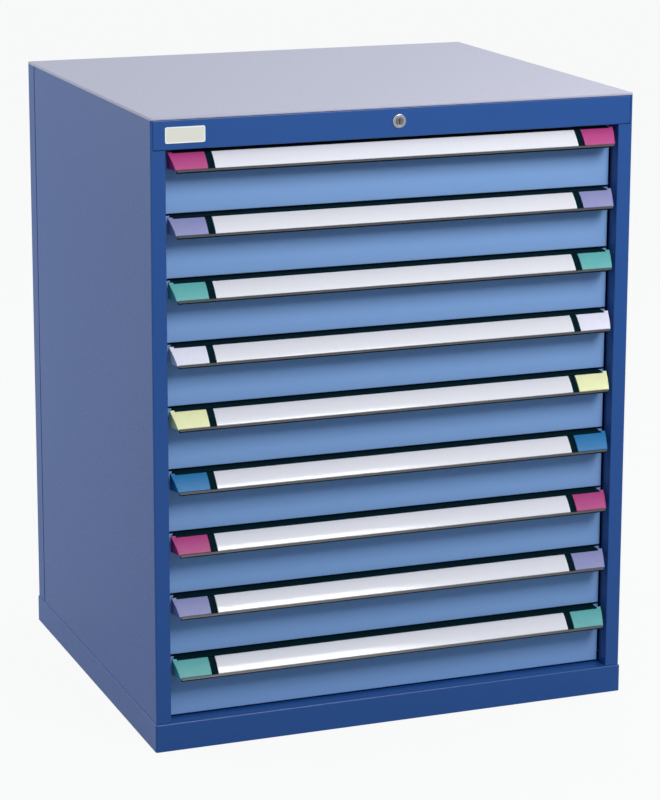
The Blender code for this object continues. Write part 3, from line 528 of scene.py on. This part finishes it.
def dress_cabinet():
    """The housing, the runner frames and the lock."""
    for node in ("top_cover", "left_side_panel", "right_side_panel", "front_cross_rail"):
        dressed(node, SHEET_ROUND)
    for node in ("base_pan", "back_panel"):
        dressed(node, SEAM_ROUND)
    for node in ("left_runner_frame", "right_runner_frame"):
        dressed(node, METAL_ROUND, segments=1)
    for node in ("lock_barrel", "lock_plug", "lock_cam", "lock_cross_bar", "locking_bar"):
        piece = dressed(node, METAL_ROUND)
        if node == "lock_plug":
            # The plug takes the darker chrome copy, a painted dark reflection
            piece.material_slots[0].material = materials["plug"]
    for node in ("locking_bar_guide_upper", "locking_bar_guide_lower"):
        dressed(node, METAL_ROUND)


def dress_drawers():
    """All drawers are alike but for the caps' colours, so the top one's shapes serve for each."""
    limits = strip_limits("drawer_1_label")
    shapes = (
        ("tray", SHEET_ROUND, node_shape("drawer_1_tray")),
        ("handle", PROFILE_ROUND, handle_shape("drawer_1_handle")),
        ("label", METAL_ROUND, crowned("drawer_1_label", limits)),
        ("cap_left", CAP_ROUND, crowned("drawer_1_cap_left", limits)),
        ("cap_right", CAP_ROUND, crowned("drawer_1_cap_right", limits)),
    )
    for number in DRAWERS:
        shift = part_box(f"drawer_{number}_tray")[0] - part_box("drawer_1_tray")[0]
        for end, radius, shape in shapes:
            piece = dressed(f"drawer_{number}_{end}", radius, shape=shape.copy(), shift=shift)
            if end == "handle":
                # The lighter black for the lip: a painted highlight
                piece.data.materials.append(materials["handle_lip_painted_highlight"])
            elif end.startswith("cap"):
                piece.modifiers[BEVEL_NAME].use_clamp_overlap = False


# Stage


def blended(tree, share, unseen, seen, output):
    """Mixes two shaders by a share, and puts the result on the tree's output."""
    mix = tree.nodes.new("ShaderNodeMixShader")
    tree.links.new(share, mix.inputs["Fac"])
    tree.links.new(unseen, mix.inputs[1])
    tree.links.new(seen, mix.inputs[2])
    tree.links.new(mix.outputs["Shader"], tree.nodes[output].inputs["Surface"])


def math_node(tree, operation, first, second, third=None):
    """A Math node. Each operand is a number or another node's output."""
    made = tree.nodes.new("ShaderNodeMath")
    made.operation = operation
    for socket, operand in zip(made.inputs, (first, second, third)):
        if isinstance(operand, float):
            socket.default_value = operand
        elif operand is not None:
            tree.links.new(operand, socket)
    return made.outputs["Value"]


def pale_floor():
    """A wide pale floor. The camera sees it nearly white, with the cabinet's shadow left on it."""
    shape = bmesh.new()
    bmesh.ops.create_grid(shape, x_segments=2, y_segments=2, size=FLOOR_HALF_SIZE)
    mesh = bpy.data.meshes.new("floor")
    shape.to_mesh(mesh)
    shape.free()
    floor = bpy.data.objects.new("floor", mesh)
    bpy.context.scene.collection.objects.link(floor)
    material = bpy.data.materials.new("pale_floor")
    material.use_nodes = True
    tree = material.node_tree
    surface = tree.nodes["Principled BSDF"]
    set_inputs(surface, Base_Color=opaque(FLOOR_COLOUR), Roughness=FLOOR_ROUGHNESS)
    glow = add_node(tree, "ShaderNodeEmission", Color=opaque(WHITE), Strength=1.0)
    rays = tree.nodes.new("ShaderNodeLightPath").outputs
    mirrored = math_node(tree, "MULTIPLY", rays["Is Glossy Ray"], FLOOR_WHITE_MIRRORED)
    share = math_node(tree, "MULTIPLY_ADD", rays["Is Camera Ray"], FLOOR_WHITE_SEEN, mirrored)
    blended(tree, share, surface.outputs["BSDF"], glow.outputs["Emission"], "Material Output")
    mesh.materials.append(material)


def studio_world():
    """An even white surround to the camera and to reflections, and a softer, cooler fill light."""
    world = bpy.data.worlds.new("studio")
    bpy.context.scene.world = world
    world.use_nodes = True
    tree = world.node_tree
    surround = tree.nodes["Background"]
    set_inputs(surround, Color=opaque(WHITE))
    fill = add_node(
        tree, "ShaderNodeBackground", Color=opaque(FILL_COLOUR), Strength=FILL_STRENGTH
    )
    rays = tree.nodes.new("ShaderNodeLightPath").outputs
    share = math_node(tree, "MAXIMUM", rays["Is Camera Ray"], rays["Is Glossy Ray"])
    blended(
        tree, share, fill.outputs["Background"], surround.outputs["Background"], "World Output"
    )


def softbox(name, place, target, size, power, colour):
    """A square lamp that faces a target."""
    light = bpy.data.lights.new(name, "AREA")
    light.shape = "SQUARE"
    light.size = size
    light.energy = power
    light.color = colour
    lamp = bpy.data.objects.new(name, light)
    lamp.location = place
    aim = Vector(target) - Vector(place)
    lamp.rotation_euler = aim.to_track_quat("-Z", "Y").to_euler()
    bpy.context.scene.collection.objects.link(lamp)


def studio_camera():
    camera = bpy.data.objects.new("camera", bpy.data.cameras.new("camera"))
    camera.location = CAMERA_PLACE
    camera.rotation_euler = [math.radians(angle) for angle in CAMERA_ANGLES]
    camera.data.lens = CAMERA_LENS
    camera.data.shift_x, camera.data.shift_y = CAMERA_SHIFT
    bpy.context.scene.collection.objects.link(camera)
    bpy.context.scene.camera = camera


bpy.context.scene.view_settings.view_transform = "Standard"
studio_camera()
pale_floor()
studio_world()
for lamp_name, values in LAMPS.items():
    softbox(lamp_name, *values)
dress_cabinet()
dress_drawers()
blank_plate()
